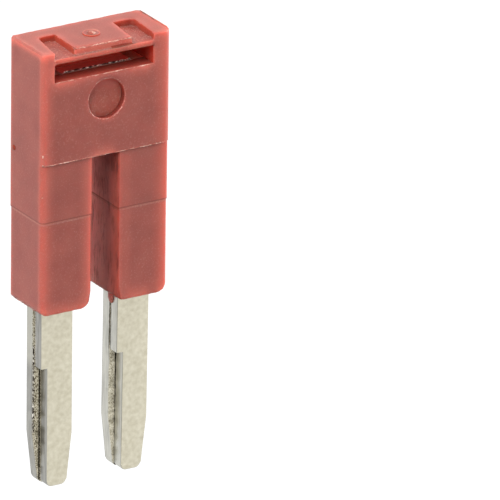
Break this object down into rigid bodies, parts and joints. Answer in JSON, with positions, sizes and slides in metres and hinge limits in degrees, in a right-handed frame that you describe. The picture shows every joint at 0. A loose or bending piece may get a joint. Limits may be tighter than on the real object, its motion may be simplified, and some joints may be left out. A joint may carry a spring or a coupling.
{
  "type": "terminal block jumper",
  "caption": "Plug-in jumper for terminal blocks: flat tin-plated contact pins in a red moulded housing with a gripping head, bridging neighbouring blocks.",
  "frame": {"origin": "midway between the two pins, level with the underside of the legs, where the bare pins begin", "axes": "+X along the row of pins, +Y from the front with the window to the plain back, +Z from the pin tips to the head"},
  "size_m": [0.0087, 0.0039, 0.0279],
  "materials": {
    "red_plastic": "moulded satin polyamide, slightly translucent",
    "tinned_copper": "stamped copper alloy with matt tin plating"
  },
  "bodies": {
    "root": {"housing": "red_plastic", "front_plate": "tinned_copper", "back_plate": "tinned_copper"}
  },
  "joints": []
}
